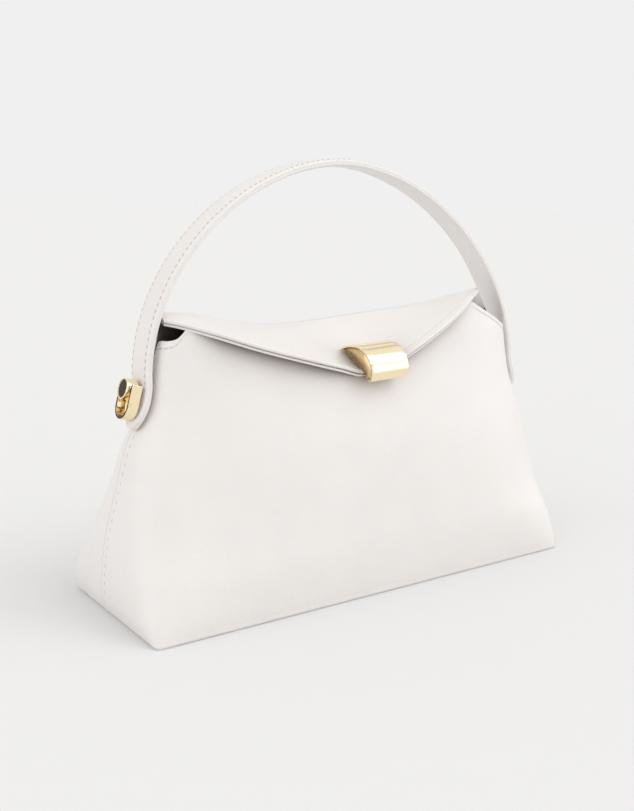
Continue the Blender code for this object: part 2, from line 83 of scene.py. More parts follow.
# Body sections: height as a share of SEAM_HEIGHT, half width as a share of half BASE_WIDTH, the seam, front
# and back as shares of half BASE_DEPTH, and how round the front and back corner folds are.
SECTION_COLUMNS = ("height", "half_width", "seam", "front", "back", "front_round", "back_round")
SECTIONS = np.array([
    (0.000, 1.000, 0.10, -1.00, 0.98, 0.008, 0.055),
    (0.055, 1.018, 0.09, -1.02, 1.03, 0.062, 0.082),
    (0.120, 1.025, 0.08, -1.03, 1.035, 0.115, 0.125),
    (0.190, 1.025, 0.06, -1.03, 1.025, 0.165, 0.190),
    (0.310, 1.014, 0.03, -1.00, 0.96, 0.265, 0.290),
    (0.500, 0.978, -0.02, -0.93, 0.83, 0.345, 0.400),
    (0.650, 0.942, -0.05, -0.85, 0.69, 0.390, 0.435),
    (0.720, 0.911, -0.07, -0.79, 0.61, 0.390, 0.455),
    (0.790, 0.883, -0.08, -0.73, 0.52, 0.390, 0.455),
    (0.900, 0.861, -0.10, -0.63, 0.38, 0.395, 0.455),
    (1.000, 0.842, -0.12, -0.56, 0.24, 0.415, 0.435),
    (1.080, 0.806, -0.12, -0.50, 0.12, 0.415, 0.385),
    (1.180, 0.770, -0.11, -0.44, 0.02, 0.415, 0.333),
])

# Front rim: place round the panel from the left seam (-1) to the right seam (1), and height over SEAM_HEIGHT.
RIM = np.array([
    (-1.000, 1.005), (-0.958, 1.008), (-0.833, 1.010), (-0.785, 1.014), (-0.750, 1.023), (-0.732, 1.037),
    (-0.718, 1.051), (-0.700, 1.060), (-0.643, 1.057), (-0.565, 1.045), (-0.480, 1.024), (-0.387, 0.994),
    (-0.287, 0.962), (-0.193, 0.930), (-0.110, 0.895), (-0.032, 0.864), (0.032, 0.874), (0.093, 0.903),
    (0.177, 0.962), (0.278, 1.015), (0.367, 1.062), (0.430, 1.100), (0.470, 1.114), (0.530, 1.089),
    (0.580, 1.068), (0.625, 1.050), (0.680, 1.030), (0.720, 1.017), (0.790, 1.007), (0.920, 1.005),
    (1.000, 1.005),
])

# The flap from side to side: place across over FLAP_HALF_WIDTH, then the depths of its fold and free edge over
# FLAP_REACH and their heights over SEAM_HEIGHT.
FLAP_COLUMNS = ("across", "fold_y", "fold_z", "edge_y", "edge_z")
FLAP = np.array([
    (-1.06, 0.04, 1.108, -0.22, 1.090),
    (-0.99, 0.05, 1.106, -0.45, 1.079),
    (-0.90, 0.05, 1.100, -0.68, 1.059),
    (-0.68, 0.07, 1.069, -0.95, 1.004),
    (-0.45, 0.10, 1.046, -1.07, 0.955),
    (-0.25, 0.12, 1.046, -1.07, 0.915),
    (-0.07, 0.13, 1.057, -0.98, 0.883),
    (0.10, 0.13, 1.068, -0.98, 0.913),
    (0.25, 0.12, 1.078, -1.02, 0.972),
    (0.40, 0.10, 1.089, -0.99, 1.032),
    (0.50, 0.08, 1.100, -0.92, 1.069),
    (0.60, 0.05, 1.112, -0.82, 1.107),
    (0.68, 0.03, 1.124, -0.71, 1.134),
    (0.76, 0.01, 1.137, -0.55, 1.146),
    (0.84, -0.01, 1.149, -0.35, 1.151),
    (0.93, -0.03, 1.160, -0.12, 1.153),
])

# Side profile of the clasp's hood: depth over FLAP_REACH and height over SEAM_HEIGHT.
HOOD = np.array([
    (-0.440, 0.956), (-0.530, 0.967), (-0.630, 0.974), (-0.740, 0.978), (-0.880, 0.979), (-1.010, 0.971),
    (-1.130, 0.955), (-1.220, 0.932), (-1.270, 0.905), (-1.285, 0.880), (-1.280, 0.858), (-1.250, 0.853),
    (-1.190, 0.852),
])


# Shapes

def smooth(at, places, values):
    """Cubic through the places, each slope taken from the neighbours."""
    slopes = np.gradient(values, places)
    at = np.clip(at, places[0], places[-1])
    i = np.clip(np.searchsorted(places, at, side="right") - 1, 0, len(places) - 2)
    step = places[i + 1] - places[i]
    t = (at - places[i]) / step
    return (
        values[i] * (1 + 2 * t) * (1 - t) ** 2
        + values[i + 1] * t**2 * (3 - 2 * t)
        + step * (slopes[i] * t * (1 - t) ** 2 - slopes[i + 1] * t**2 * (1 - t))
    )


def section(height, name):
    """A measure of the body at each height, by the cubic through its column of the table."""
    values = smooth(height / SEAM_HEIGHT, SECTIONS[:, 0], SECTIONS[:, SECTION_COLUMNS.index(name)])
    if name == "half_width":
        return values * BASE_WIDTH / 2
    if name in ("seam", "front", "back"):
        return values * BASE_DEPTH / 2
    return values


def wall_point(place, height, side):
    """Half of a rounded box in plan: |x/a|^n + |y/b|^n = 1, swept by the angle from seam (-1) to seam (1)."""
    angle = place * math.pi / 2
    a = section(height, "half_width")
    seam = section(height, "seam")
    b = np.abs(section(height, side) - seam)
    power = 1 / section(height, side + "_round")
    x, y = np.sin(angle), np.cos(angle)
    reach = (np.abs(x) ** power + np.abs(y) ** power) ** (-1 / power)
    away = -1 if side == "front" else 1
    return np.stack([a * reach * x, seam + away * b * reach * y, height + 0 * x], axis=-1)


def rim_height(place):
    """Height of the front rim at each place from seam to seam."""
    return SEAM_HEIGHT * smooth(place, RIM[:, 0], RIM[:, 1])


def flap_across(place):
    """Where each column of the back comes out across the flap: a sine of its place from seam to seam."""
    middle = (FLAP[0, 0] + FLAP[-1, 0]) / 2
    return middle + (FLAP[-1, 0] - middle) * np.sin(place * math.pi / 2)


def flap_line(across, name):
    """The flap's fold or its free edge, read from the table."""
    y = smooth(across, FLAP[:, 0], FLAP[:, FLAP_COLUMNS.index(name + "_y")]) * FLAP_REACH
    z = smooth(across, FLAP[:, 0], FLAP[:, FLAP_COLUMNS.index(name + "_z")]) * SEAM_HEIGHT
    return np.stack([across * FLAP_HALF_WIDTH, y, z], axis=-1)


def flap_points(across, steps):
    """Bezier curve from fold to edge at each place across, pressed down under the clasp by a bell curve."""
    fold, edge = flap_line(across, "fold"), flap_line(across, "edge")
    length = np.linalg.norm(edge - fold, axis=-1, keepdims=True)
    press = bell(across, CLASP_DENT)[:, None]
    leave = fold + length * (np.array([0.0, -0.30, 0.04]) + press * np.array([0.0, 0.08, -0.18]))
    arrive = edge + length * (np.array([0.0, 0.33, 0.13]) + press * np.array([0.0, 0.06, -0.10]))
    t = steps[:, None, None]
    return (1 - t) ** 3 * fold + 3 * t * (1 - t) ** 2 * leave + 3 * t**2 * (1 - t) * arrive + t**3 * edge


def back_wall(place, height):
    """The back of the body, bent near its top by a squared ramp to meet the flap's fold."""
    fold = flap_line(flap_across(place), "fold")
    blend = np.clip((height / fold[..., 2] - BEND_START) / (1 - BEND_START), 0, 1)[..., None] ** 2
    return wall_point(place, height, "back") + blend * (fold - wall_point(place, fold[..., 2], "back"))


def unit(vectors):
    """The vectors brought to length 1."""
    return vectors / np.linalg.norm(vectors, axis=-1, keepdims=True)


def normals_of(points):
    """Unit normals of a grid: the cross product of its two directions."""
    return unit(np.cross(np.gradient(points, axis=1), np.gradient(points, axis=0)))


# Mesh building

def mesh_object(name, points, faces, material):
    """A smooth-shaded object from (n, 3) points and (m, 4) faces, put into the mesh whole."""
    faces = np.asarray(faces, dtype=np.int32)
    mesh = bpy.data.meshes.new(name)
    mesh.vertices.add(len(points))
    mesh.vertices.foreach_set("co", np.ascontiguousarray(points, dtype=np.float32).ravel())
    mesh.loops.add(faces.size)
    mesh.loops.foreach_set("vertex_index", faces.ravel())
    mesh.polygons.add(len(faces))
    mesh.polygons.foreach_set("loop_start", np.arange(0, faces.size, faces.shape[1], dtype=np.int32))
    mesh.polygons.foreach_set("loop_total", np.full(len(faces), faces.shape[1], dtype=np.int32))
    mesh.update(calc_edges=True)
    mesh.shade_smooth()
    obj = bpy.data.objects.new(name, mesh)
    obj.data.materials.append(material)
    bpy.context.scene.collection.objects.link(obj)
    return obj


def grid_faces(rows, columns, closed=False):
    """Quads of a grid stored row by row; a closed grid joins its last column to its first."""
    i, j = np.meshgrid(np.arange(rows - 1), np.arange(columns if closed else columns - 1), indexing="ij")
    k = (j + 1) % columns
    low, high = i * columns, (i + 1) * columns
    return np.stack([low + j, low + k, high + k, high + j], axis=-1).reshape(-1, 4)


# Rows of the half circle at a rounded edge: an even number, so that the rows pair up at the two sides
ROUNDING = 6


def rounded_shell(name, outer, inner, material, flip=False):
    """A closed leather sheet from its outer and inner grids, its last row rounded over by a half circle.

    The half circle at each column turns from the outer edge point to the inner one, by cosine along the
    thickness and by sine along the way that the sheet runs there.
    """
    ahead = unit(outer[-1] - outer[-2])
    middle, half = (outer[-1] + inner[-1]) / 2, (outer[-1] - inner[-1]) / 2
    turn = np.linspace(0, math.pi, ROUNDING + 2)[1:-1, None, None]
    reach = np.linalg.norm(half, axis=-1, keepdims=True)
    arc = middle + half * np.cos(turn) + ahead * reach * np.sin(turn)
    points = np.concatenate([outer, arc, inner[::-1]])
    rows, columns = points.shape[:2]
    around = np.concatenate([grid_faces(rows, columns), last_to_first(rows, columns)])
    i = np.arange((rows - 1) // 2)
    near = np.stack([i, i + 1, rows - 2 - i, rows - 1 - i], axis=-1) * columns
    faces = np.concatenate([around, near, near[:, ::-1] + columns - 1])
    return mesh_object(name, points.reshape(-1, 3), faces[:, ::-1] if flip else faces, material)


def second_material_inside(shell, outer):
    """The shell's faces between its inner rows, which come after the outer rows and the rounding."""
    rows, columns = len(outer), outer.shape[1] - 1
    inside = np.zeros(len(shell.data.polygons), dtype=np.int32)
    inside[(rows + ROUNDING) * columns:(2 * rows + ROUNDING - 1) * columns] = 1
    shell.data.polygons.foreach_set("material_index", inside)


def last_to_first(rows, columns):
    """Quads that join a grid's last row to its first."""
    j = np.arange(columns - 1)
    low = (rows - 1) * columns
    return np.stack([low + j, low + j + 1, j + 1, j], axis=-1)


def closed_tube_faces(rows, columns, flip=False):
    """A tube's quads with its two ends closed by fans folded into quads."""
    faces = [grid_faces(rows, columns, closed=True)]
    j = np.arange(columns // 2 - 1)
    cap = np.stack([j, j + 1, columns - 2 - j, columns - 1 - j], axis=-1)
    faces.append(cap[:, ::-1])
    faces.append(cap + (rows - 1) * columns)
    faces = np.concatenate(faces)
    return faces[:, ::-1] if flip else faces


def length_along(points, axis):
    """Running length over a grid, from its first row or column."""
    steps = np.linalg.norm(np.diff(points, axis=axis), axis=-1)
    start = [(0, 0), (0, 0)]
    start[axis] = (1, 0)
    return np.pad(np.cumsum(steps, axis=axis), start)


def bell(distance, width):
    """A bell curve, exp(-(distance / width)^2)."""
    return np.exp(-((distance / width) ** 2))


def line_at(points, distances, wanted):
    """The line over a grid at a wanted distance from its last row, by linear steps between rows."""
    before = np.argmax(distances < wanted, axis=0) - 1
    j = np.arange(points.shape[1])
    far, near = distances[before, j], distances[before + 1, j]
    share = ((far - wanted) / (far - near))[:, None]
    return points[before, j] * (1 - share) + points[before + 1, j] * share


def stitches(name, path, outward, pitch=3.1 * MM, length=1.9 * MM, thick=0.24 * MM, sink=0.06 * MM):
    """A row of thread dashes: one small capsule at each pitch along the path, its radius the root of a sine."""
    run = np.concatenate([[0], np.cumsum(np.linalg.norm(np.diff(path, axis=0), axis=-1))])
    places = np.arange(pitch, run[-1] - pitch / 2, pitch)
    at = np.stack([np.interp(places, run, path[:, k]) for k in range(3)], axis=-1)
    ahead = unit(np.stack([np.interp(places + 0.5 * MM, run, path[:, k]) for k in range(3)], axis=-1) - at)
    up = np.stack([np.interp(places, run, outward[:, k]) for k in range(3)], axis=-1)
    side = unit(np.cross(ahead, up))
    up = np.cross(side, ahead)
    turn = np.linspace(0, math.pi, 9)[:, None]
    round_ = np.arange(8) * math.pi / 4
    radius = thick * np.sqrt(np.sin(turn)) + 0.01 * MM
    shape = np.stack([
        -np.cos(turn) * length / 2 + 0 * round_,
        radius * np.cos(round_),
        radius * np.sin(round_) * 0.8,
    ], axis=-1).reshape(-1, 3)
    axes = np.stack([ahead, side, up], axis=1)
    points = at[:, None] - up[:, None] * sink + shape @ axes
    one = closed_tube_faces(9, 8)
    faces = (one[None] + np.arange(len(at))[:, None, None] * len(shape)).reshape(-1, 4)
    return mesh_object(name, points.reshape(-1, 3), faces, thread)


# Finishes

def new_material(name, colour, roughness, metallic=0.0):
    """A material with its node tree and its shader, of one colour and gloss to begin with."""
    material = bpy.data.materials.new(name)
    material.use_nodes = True
    shader = material.node_tree.nodes["Principled BSDF"]
    shader.inputs["Base Color"].default_value = (*colour, 1.0)
    shader.inputs["Roughness"].default_value = roughness
    shader.inputs["Metallic"].default_value = metallic
    return material, material.node_tree, shader


def node(tree, kind, inputs=None, **settings):
    """A new shader node: an input given a socket is linked to it, and any other input is set."""
    made = tree.nodes.new(kind)
    for name, value in settings.items():
        setattr(made, name, value)
    for name, value in (inputs or {}).items():
        if isinstance(value, bpy.types.NodeSocket):
            tree.links.new(value, made.inputs[name])
        else:
            made.inputs[name].default_value = value
    return made


def ramp(tree, factor, low, high, dark, light):
    """A colour or grey that goes from dark at low to light at high."""
    made = node(tree, "ShaderNodeValToRGB", {"Fac": factor})
    made.color_ramp.elements[0].position = low
    made.color_ramp.elements[1].position = high
    made.color_ramp.elements[0].color = dark
    made.color_ramp.elements[1].color = light
    return made.outputs["Color"]


def leather_finish(name, colour, roughness=0.40, grain=0.32, coat=0.24):
    """Smooth calf leather: a shallow pebble grain, soft creases, and slow changes of tone and gloss.

    A piece that carries the flap's shade attribute goes over to the shaded colour by its value: painted shade.
    """
    material, tree, shader = new_material(name, colour, roughness)
    place = node(tree, "ShaderNodeTexCoord").outputs["Object"]
    tone = node(tree, "ShaderNodeTexNoise", {"Vector": place, "Scale": 38.0, "Detail": 3.0})
    dark = tuple(c * 0.985 for c in colour) + (1.0,)
    light = tuple(min(1.0, c * 1.008) for c in colour) + (1.0,)
    plain = ramp(tree, tone.outputs["Fac"], 0.34, 0.66, dark, light)
    # Painted shade: the colour goes darker and browner below the flap's edge, by the attribute
    under = node(tree, "ShaderNodeAttribute", attribute_name="painted_flap_shade")
    shaded = tuple(c * share for c, share in zip(colour, PAINTED_FLAP_SHADE)) + (1.0,)
    mixed = node(tree, "ShaderNodeMixRGB", {"Fac": under.outputs["Fac"], "Color1": plain,
                                            "Color2": shaded})
    tree.links.new(mixed.outputs["Color"], shader.inputs["Base Color"])
    gloss = node(tree, "ShaderNodeTexNoise", {"Vector": place, "Scale": 260.0, "Detail": 4.0})
    low, high = (roughness * 0.88,) * 3 + (1.0,), (min(1.0, roughness * 1.14),) * 3 + (1.0,)
    tree.links.new(ramp(tree, gloss.outputs["Fac"], 0.3, 0.7, low, high), shader.inputs["Roughness"])
    pebble = node(tree, "ShaderNodeTexVoronoi", {"Vector": place, "Scale": 1500.0, "Smoothness": 0.6},
                  feature="SMOOTH_F1")
    crease = node(tree, "ShaderNodeTexNoise", {"Vector": place, "Scale": 420.0, "Detail": 6.0,
                                               "Roughness": 0.6})
    relief = node(tree, "ShaderNodeMath", {0: pebble.outputs["Distance"], 1: crease.outputs["Fac"]},
                  operation="ADD").outputs[0]
    bump = node(tree, "ShaderNodeBump", {"Height": relief, "Strength": grain, "Distance": 0.2 * MM})
    tree.links.new(bump.outputs["Normal"], shader.inputs["Normal"])
    shader.inputs["Coat Weight"].default_value = coat
    shader.inputs["Coat Roughness"].default_value = 0.32
    shader.inputs["Specular IOR Level"].default_value = 0.45
    return material


def metal_finish(name, colour, roughness=0.13):
    """Polished plate: fine handling marks change its gloss, and a faint ripple bends its reflections."""
    material, tree, shader = new_material(name, colour, roughness, 1.0)
    place = node(tree, "ShaderNodeTexCoord").outputs["Object"]
    marks = node(tree, "ShaderNodeTexNoise", {"Vector": place, "Scale": 900.0, "Detail": 5.0})
    low, high = (roughness * 0.7,) * 3 + (1.0,), (roughness * 1.5,) * 3 + (1.0,)
    tree.links.new(ramp(tree, marks.outputs["Fac"], 0.35, 0.7, low, high), shader.inputs["Roughness"])
    ripple = node(tree, "ShaderNodeTexNoise", {"Vector": place, "Scale": 120.0, "Detail": 1.0})
    bump = node(tree, "ShaderNodeBump", {"Height": ripple.outputs["Fac"], "Strength": 0.05,
                                         "Distance": 0.1 * MM})
    tree.links.new(bump.outputs["Normal"], shader.inputs["Normal"])
    return material


def lining_finish(name, colour):
    """Dark ribbed cloth: fine upright ribs, woven across, with a faint sheen."""
    material, tree, shader = new_material(name, colour, 0.8)
    place = node(tree, "ShaderNodeTexCoord").outputs["Object"]
    ribs = node(tree, "ShaderNodeTexWave", {"Vector": place, "Scale": 500.0, "Distortion": 0.4, "Detail": 1.0},
                wave_type="BANDS", bands_direction="X")
    dark = tuple(c * 0.7 for c in colour) + (1.0,)
    light = tuple(c * 1.5 for c in colour) + (1.0,)
    tree.links.new(ramp(tree, ribs.outputs["Fac"], 0.2, 0.9, dark, light), shader.inputs["Base Color"])
    bump = node(tree, "ShaderNodeBump", {"Height": ribs.outputs["Fac"], "Strength": 0.4,
                                         "Distance": 0.1 * MM})
    tree.links.new(bump.outputs["Normal"], shader.inputs["Normal"])
    shader.inputs["Sheen Weight"].default_value = 0.2
    return material


LEATHER_COLOUR = (0.785, 0.755, 0.735)
# Painted shade below the flap's edge: the shares of the leather colour that the shaded leather keeps
PAINTED_FLAP_SHADE = (0.32, 0.25, 0.20)
leather = leather_finish("body_leather", LEATHER_COLOUR)
strap_leather = leather_finish("strap_leather", LEATHER_COLOUR, roughness=0.45)
thread = leather_finish("thread", (0.52, 0.46, 0.40), roughness=0.6, grain=0.2, coat=0.0)
suede = leather_finish("brown_suede", (0.16, 0.11, 0.08), roughness=0.9, grain=0.3, coat=0.0)
cloth = lining_finish("lining_cloth", (0.080, 0.058, 0.046))
gold = metal_finish("pale_gold", (0.98, 0.84, 0.58))
# Darker, duller gold inside the hood: its darker colour is painted shade, its roughness a duller finish
shaded_inner_gold = metal_finish("gold_inside", (0.72, 0.54, 0.30), roughness=0.32)
# Near-black gold: painted shade on faces of the ring and the left stud
painted_shade_gold = metal_finish("gold_in_shadow", (0.035, 0.022, 0.015), roughness=0.22)


# Leather body

PANEL_GAP = GAP / 2
SEAM_STITCH = 2.4 * MM
RIM_STITCH = 3.1 * MM
BINDING = 2.5 * MM

# Fine rows below a free edge and above the base
EDGE = 6.0 * MM
BASE_EDGE = 5.0 * MM
BASE_ROWS = 18

# Distance of the flap's sewn crease from its edge at the left and right ends, and the columns that are sewn
FLAP_CREASE = (2.3 * MM, 4.3 * MM)
FLAP_SEWN = slice(18, -14)

# Lines of each grid that lie by its stitches, counted from the edge: the thread turns with their normals
BY_RIM_STITCH = -12
BY_SEAM_STITCH = -14
BY_FLAP_STITCH = -8

# Rows of the back wall below the flap's fold that have no seam welt
WELT_STOP = 12

# Where the rim shows beyond the flap, and where it is sewn, as places round the front from seam to seam
RIM_HIDDEN_MIDDLE = -0.115
RIM_HIDDEN_HALF = 0.575
RIM_SEWN = (-0.70, 0.48)

# Shade of the flap painted into the front leather below its edge: the band, and how it fades in from its two
# ends
SHADE_LEFT, SHADE_RIGHT = -108 * MM, 84 * MM
SHADE_LEFT_FADE, SHADE_RIGHT_FADE = 16 * MM, 20 * MM
SHADE_FULL = 2.5 * MM
SHADE_FALL = 4.5 * MM

# The flap's under layer: its two ends, its reach as shares of the way from fold to edge, and its clearance
FACING_ENDS = (-0.97, 0.90)
FACING_REACH = (0.30, 0.992)
FACING_CLEARANCE = 0.42 * MM

# Lining: its clearance from the leather, how far it stays below the rim and the fold, and its dip at the back
LINING_CLOTH = 0.5 * MM
LINING_CLEARANCE = 0.8 * MM
LINING_BELOW_RIM = 2.2 * MM
LINING_BELOW_FOLD = 4.0 * MM
LINING_DIP = 20 * MM


def place_on(piece, *nodes, finish="leather"):
    """The piece rides with the bag and stands for its solid, whose parts are hidden."""
    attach(piece, "root")
    if nodes:
        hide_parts(*nodes)
    return piece


def inner_side(points, thickness, outward, wall_rows):
    """Each point moved in along its normal: level along the base, and in the seam's plane up the seams."""
    normals = normals_of(points) * outward
    normals[0, :, 2] = 0
    normals[:wall_rows, [0, -1], 1] = 0
    return points - unit(normals) * thickness


def rows_to_edge(top, rise, fine, edge):
    """Heights from the base to the top line: even steps, with fine ones by the base and below the top."""
    low = BASE_EDGE * np.linspace(0, 1, BASE_ROWS + 1)[:-1, None] + 0 * top
    coarse = BASE_EDGE + np.linspace(0, 1, rise)[:-1, None] * (top - edge - BASE_EDGE)
    return np.concatenate([low, coarse, top - edge * np.linspace(1, 0, fine)[:, None]])


def base_relief(height):
    """The bound edge round the base: a low ridge, tucked in below it at the floor."""
    return 0.14 * MM * bell(height - 1.6 * MM, 1.1 * MM) - 0.60 * MM * bell(height, 0.7 * MM)


def rim_shows(place):
    """1 beyond the flap's two ends, where the rim is bound and stitched, and 0 under the flap."""
    return np.clip((np.abs(place - RIM_HIDDEN_MIDDLE) - RIM_HIDDEN_HALF) / 0.02, 0, 1)


def places_round(middle, fine):
    """Places from seam to seam: even steps, and fine ones by the two seams."""
    near = np.linspace(-1, -0.90, fine)[:-1]
    return np.concatenate([near, np.linspace(-0.90, 0.90, middle), -near[::-1]])


def seam_relief(points):
    """A welt of leather along each side seam, then the groove that its stitches lie in."""
    run = length_along(points, 1)
    relief = 0
    for distance in (run, run[:, -1:] - run):
        relief = relief + 0.45 * MM * bell(distance, 0.9 * MM)
        relief = relief - 0.22 * MM * bell(distance - SEAM_STITCH, 0.35 * MM)
    return relief


def paint_flap_shade(panel):
    """Painted shade of the flap on the leather, as an attribute: 1 at its edge, falling off exponentially
    below.
    """
    count = len(panel.data.vertices)
    points = np.empty(count * 3)
    panel.data.vertices.foreach_get("co", points)
    x, _, z = points.reshape(-1, 3).T
    edge = flap_line(np.clip(x / FLAP_HALF_WIDTH, FLAP[0, 0], FLAP[-1, 0]), "edge")[:, 2]
    left_end = np.clip((x - SHADE_LEFT) / SHADE_LEFT_FADE, 0, 1)
    right_end = np.clip((SHADE_RIGHT - x) / SHADE_RIGHT_FADE, 0, 1)
    tone = left_end * right_end * np.exp(-np.maximum(edge - z - SHADE_FULL, 0) / SHADE_FALL)
    panel.data.attributes.new("painted_flap_shade", "FLOAT", "POINT").data.foreach_set("value", tone)


def front_panel():
    """Front leather: rounded-box plan sections up to the rim's curve, with a bound rim and a groove below."""
    place = places_round(middle=161, fine=26)
    height = rows_to_edge(rim_height(place), rise=96, fine=34, edge=EDGE)
    outer = wall_point(place + 0 * height, height, "front")
    outer[..., 1] -= PANEL_GAP
    inner = inner_side(outer, LEATHER, 1, len(height))
    up = length_along(outer, 0)
    to_rim = up[-1:] - up
    binding = 0.15 * MM * (1 - np.tanh((to_rim - BINDING) / (0.25 * MM)))
    binding = (binding - 0.20 * MM * bell(to_rim - RIM_STITCH, 0.30 * MM)) * rim_shows(place)
    relief = binding + seam_relief(outer) * np.clip(to_rim / EDGE, 0, 1) + base_relief(height)
    outward = normals_of(outer)
    outer = outer + outward * relief[..., None]
    rim_line = line_at(outer, to_rim, RIM_STITCH)
    for name, run in (("left", place < RIM_SEWN[0]), ("right", place > RIM_SEWN[1])):
        row = stitches("rim_stitches_" + name, rim_line[run], outward[BY_RIM_STITCH][run])
        place_on(row, finish=None)
    sides = length_along(outer, 1)
    sewn = slice(BASE_ROWS + 2, int(np.argmax(height[:, 0] > TAB_LOW)))
    for name, distance in (("left", sides), ("right", sides[:, -1:] - sides)):
        flipped = [np.swapaxes(grid, 0, 1) for grid in (outer, distance, outward)]
        if name == "left":
            flipped = [grid[::-1] for grid in flipped]
        path = line_at(flipped[0], flipped[1], SEAM_STITCH)[sewn]
        row = stitches("seam_stitches_" + name, path, flipped[2][BY_SEAM_STITCH][sewn], pitch=4.9 * MM)
        place_on(row, finish=None)
    panel = rounded_shell("front_leather", outer, inner, leather)
    # The flap's shade, painted into the front leather's colour
    paint_flap_shade(panel)
    return panel


def back_panel():
    """Back leather and flap in one: the wall's sections, then the flap's Bezier rows, creased by its edge."""
    place = places_round(middle=141, fine=20)
    across = flap_across(place)
    height = rows_to_edge(flap_line(across, "fold")[:, 2], rise=84, fine=5, edge=EDGE)[:-1]
    wall = back_wall(place + 0 * height, height)
    wall[..., 1] += PANEL_GAP
    steps = np.concatenate([np.linspace(0, 0.82, 26)[:-1], np.linspace(0.82, 1, 30)])
    flap = flap_points(across, steps)
    outer = np.concatenate([wall, flap])
    inner = inner_side(outer, LEATHER, -1, len(wall))
    outward = -normals_of(outer)
    run = length_along(outer, 0)
    to_edge = run[-1:] - run
    crease = FLAP_CREASE[0] + (FLAP_CREASE[1] - FLAP_CREASE[0]) * np.clip(across / 1.6 + 0.5, 0, 1)
    relief = seam_relief(outer) * (np.arange(len(outer)) < len(wall) - WELT_STOP)[:, None]
    relief[:len(wall)] += base_relief(height)
    relief = relief - 0.30 * MM * bell(to_edge - crease, 0.32 * MM)
    outer = outer + outward * relief[..., None]
    path = line_at(outer, to_edge - crease, 0.0)[FLAP_SEWN]
    normal = outward[BY_FLAP_STITCH][FLAP_SEWN]
    row = stitches("flap_stitches", path, normal, pitch=2.6 * MM, thick=0.15 * MM)
    place_on(row, finish=None)
    return rounded_shell("back_leather", outer, inner, leather, flip=True)


def flap_facing():
    """Under layer of the flap: the flap's own surface moved in by its thickness, suede on its lower side."""
    place = np.linspace(*FACING_ENDS, 201)
    flap = flap_points(flap_across(place), np.linspace(*FACING_REACH, 41))
    normals = normals_of(flap)
    outer = flap + normals * (LEATHER + FACING_CLEARANCE)
    inner = outer + normals * FACING
    facing = rounded_shell("flap_facing_leather", outer, inner, leather, flip=True)
    facing.data.materials.append(suede)
    second_material_inside(facing, outer)
    return facing


def base_sheet():
    """Flat base: the body's plan at the floor, drawn in by the leather, as a thin plate."""
    place = np.linspace(-1, 1, 161)
    inset = (LEATHER + SEAT) / (BASE_WIDTH / 2)
    back = -place[1:-1]
    around = np.concatenate([wall_point(place, 0 * place, "front"), wall_point(back, 0 * back, "back")])
    around = around * [1 - inset, 1 - (LEATHER + SEAT) / (BASE_DEPTH / 2), 1]
    rows = np.stack([around, around + [0, 0, BASE_THICKNESS]])
    faces = closed_tube_faces(2, len(around))
    return mesh_object("base_leather", rows.reshape(-1, 3), faces, leather)


def bag_lining():
    """Dark lining: the walls' inner sides once more, joined into one bag with a flat floor, as a thin cloth."""
    place = np.linspace(-1, 1, 97)
    rise = np.linspace(0, 1, 41)[:, None]
    floor = BASE_THICKNESS + GAP
    inset = LEATHER + LINING_CLEARANCE
    top = rim_height(place) - LINING_BELOW_RIM
    height = floor + rise * (top - floor)
    front = inner_side(wall_point(place + 0 * height, height, "front"), inset, 1, len(rise))
    fold_top = flap_line(flap_across(place), "fold")[:, 2] - LINING_BELOW_FOLD
    near_seam = np.clip((np.abs(place) - 0.95) / 0.05, 0, 1) ** 2
    dip = LINING_DIP * bell(place - 0.72, 0.22)
    height = floor + rise * (fold_top - dip + near_seam * (top[0] - fold_top + dip) - floor)
    back = inner_side(back_wall(place + 0 * height, height), inset, -1, len(rise))
    outer = np.concatenate([front, back[:, -2:0:-1]], axis=1)
    middle = outer[0].mean(axis=0)
    # Rows of the floor, from close by its middle out to the walls
    floor_rows = middle + (outer[0] - middle) * np.linspace(0.02, 0.98, 12)[:, None, None]
    outer = np.concatenate([floor_rows, outer])
    faces = grid_faces(*outer.shape[:2], closed=True)
    lining = mesh_object("bag_lining", outer.reshape(-1, 3), faces, cloth)
    wall = lining.modifiers.new("cloth_thickness", "SOLIDIFY")
    wall.thickness = LINING_CLOTH
    return lining


# Handle

def side_line(height):
    """Middle line of the tab over the side seam, clear of the leather."""
    step = 0.5 * MM
    slope = (section(height + step, "half_width") - section(height - step, "half_width")) / (2 * step)
    return section(height, "half_width") + (HANDLE_THICKNESS / 2 + SEAT) * np.sqrt(1 + slope**2)


def handle_half_span():
    """The arch springs from just outside the line of its tabs."""
    return side_line(HANDLE_SPRING) + HANDLE_BOW


def handle_line():
    """Middle line of the strap in its own plane, tab to tab, and the half width along it."""
    turn = np.linspace(math.radians(4), math.pi / 2, 24)
    low = TAB_LOW + TAB_END * (1 - np.cos(turn))
    rise = np.linspace(low[-1], HANDLE_SPRING, 12)[1:-1]
    height = np.concatenate([low, rise])
    share = np.clip((height - TAB_LOW) / (HANDLE_SPRING - TAB_LOW), 0, 1)
    share = share**2 * (3 - 2 * share)
    over_seam = side_line(np.minimum(height, TAB_TOP))
    half_span = handle_half_span()
    x = over_seam + share * (half_span - over_seam)
    x = np.maximum(x, side_line(height))
    half = np.full(len(height), HANDLE_WIDTH / 2)
    half[:len(turn)] *= np.sin(turn)
    angle = np.linspace(0, math.pi, 161)
    power = 2 / HANDLE_SQUARENESS
    arch_x = half_span * np.sign(np.cos(angle)) * np.abs(np.cos(angle)) ** power
    rise_of_arch = HANDLE_TOP - HANDLE_THICKNESS / 2 - HANDLE_SPRING
    arch_z = HANDLE_SPRING + rise_of_arch * np.sin(angle) ** power
    along = np.concatenate([-x, -arch_x, x[::-1]])
    up = np.concatenate([height, arch_z, height[::-1]])
    wide = np.concatenate([half, np.full(len(angle), HANDLE_WIDTH / 2), half[::-1]])
    return along, up, wide


def lean(points):
    """The strap's points leant back above HANDLE_UPRIGHT and forward below it, by one slope."""
    points = points.copy()
    points[..., 1] += (points[..., 2] - HANDLE_UPRIGHT) * math.tan(HANDLE_LEAN)
    return points


